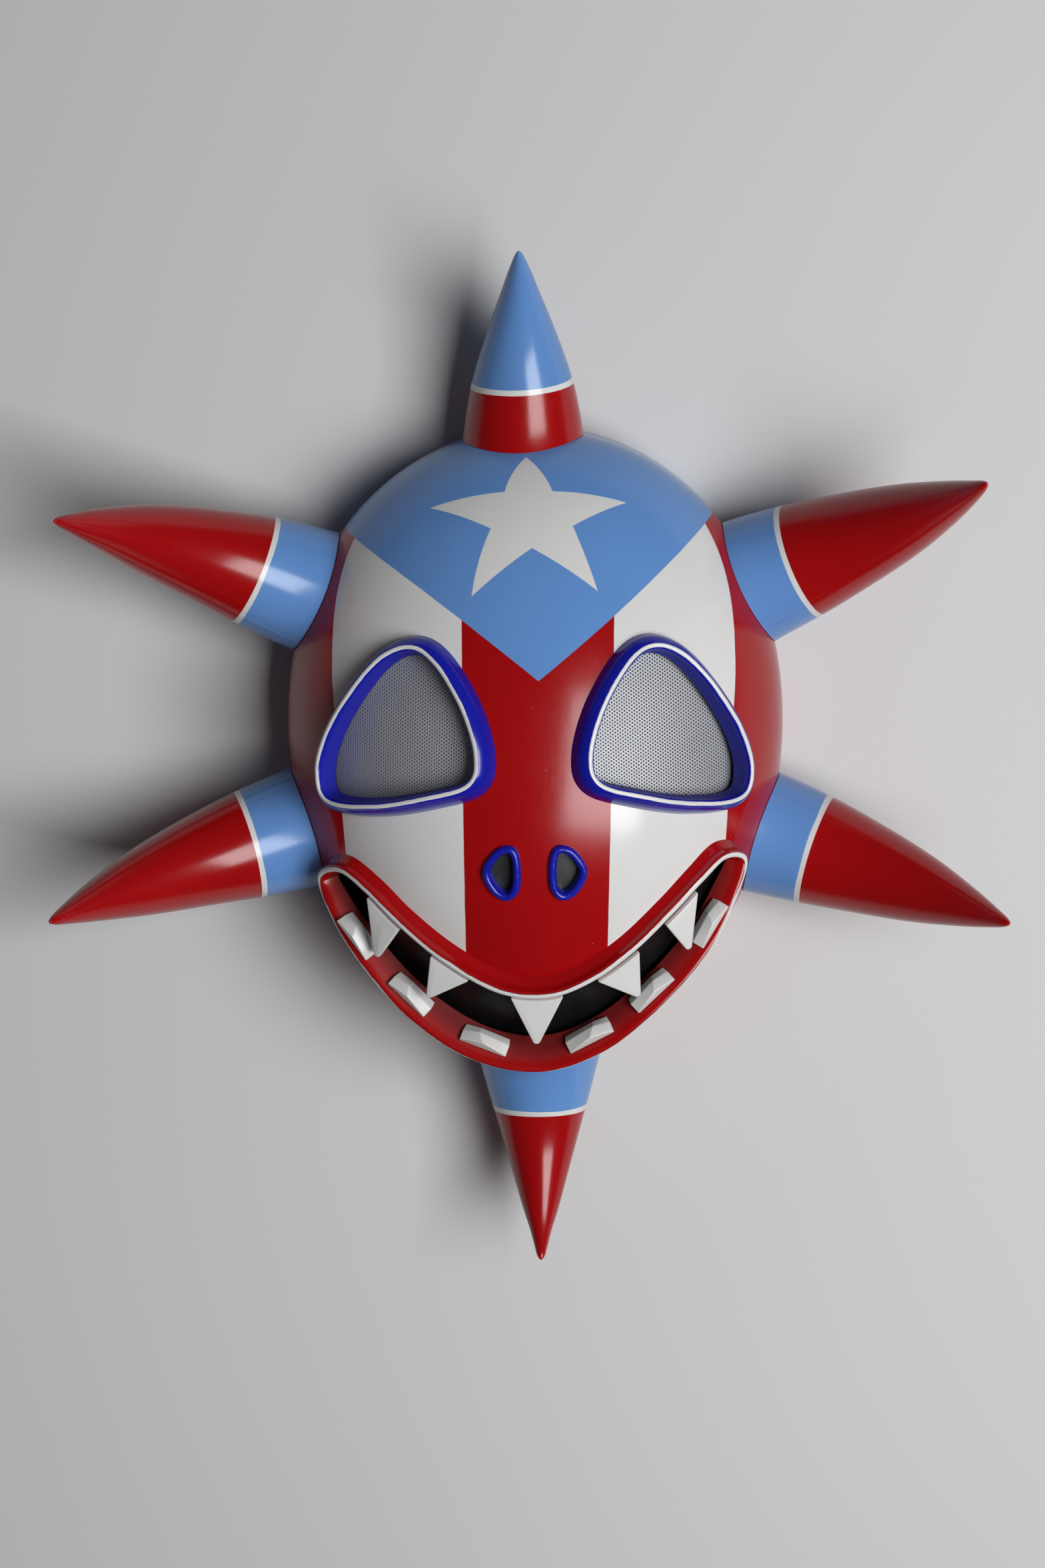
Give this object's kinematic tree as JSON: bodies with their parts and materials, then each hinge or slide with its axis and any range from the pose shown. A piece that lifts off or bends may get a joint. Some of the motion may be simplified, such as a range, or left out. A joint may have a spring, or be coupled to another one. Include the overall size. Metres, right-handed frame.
{
  "type": "vejigante mask",
  "caption": "Hollow horned carnival face mask with a flag pattern, raised eye and mouth rims, perforated eye screens and pointed teeth",
  "frame": {"origin": "middle of the whole mask's outline, in the plane of the flat back rim that it lies on", "axes": "+Z points out of the face, +Y towards the top horn, +X towards the viewer's right as the viewer faces the mask"},
  "size_m": [0.5112, 0.5586, 0.1688],
  "materials": {
    "face_enamel": "hand-brushed satin enamel over papier mache, red with white side stripes and a sky-blue forehead triangle with a white star",
    "lip_enamel": "satin red enamel with thin white lines along the crest",
    "rim_enamel": "glossy royal-blue enamel with a thin white line along the crest",
    "horn_enamel": "satin red enamel with a sky-blue base band and a thin white ring",
    "top_horn_enamel": "satin sky-blue enamel with a red base band and a thin white ring",
    "tooth_enamel": "white enamel, worn at the edges",
    "perforated_sheet": "bare aluminium sheet with small round holes in rows",
    "screen_cloth": "matt black backing cloth"
  },
  "bodies": {
    "root": {"face_shell": "face_enamel", "lip": "lip_enamel", "eye_rim_left": "rim_enamel", "eye_rim_right": "rim_enamel", "nostril_rim_left": "rim_enamel", "nostril_rim_right": "rim_enamel", "eye_mesh_left": "perforated_sheet", "eye_mesh_right": "perforated_sheet", "mouth_screen": "screen_cloth", "upper_tooth_1": "tooth_enamel", "upper_tooth_2": "tooth_enamel", "upper_tooth_3": "tooth_enamel", "upper_tooth_4": "tooth_enamel", "upper_tooth_5": "tooth_enamel", "lower_tooth_1": "tooth_enamel", "lower_tooth_2": "tooth_enamel", "lower_tooth_3": "tooth_enamel", "lower_tooth_4": "tooth_enamel", "lower_tooth_5": "tooth_enamel", "lower_tooth_6": "tooth_enamel", "horn_top": "top_horn_enamel", "horn_bottom": "horn_enamel", "horn_upper_left": "horn_enamel", "horn_upper_right": "horn_enamel", "horn_lower_left": "horn_enamel", "horn_lower_right": "horn_enamel"}
  },
  "joints": []
}
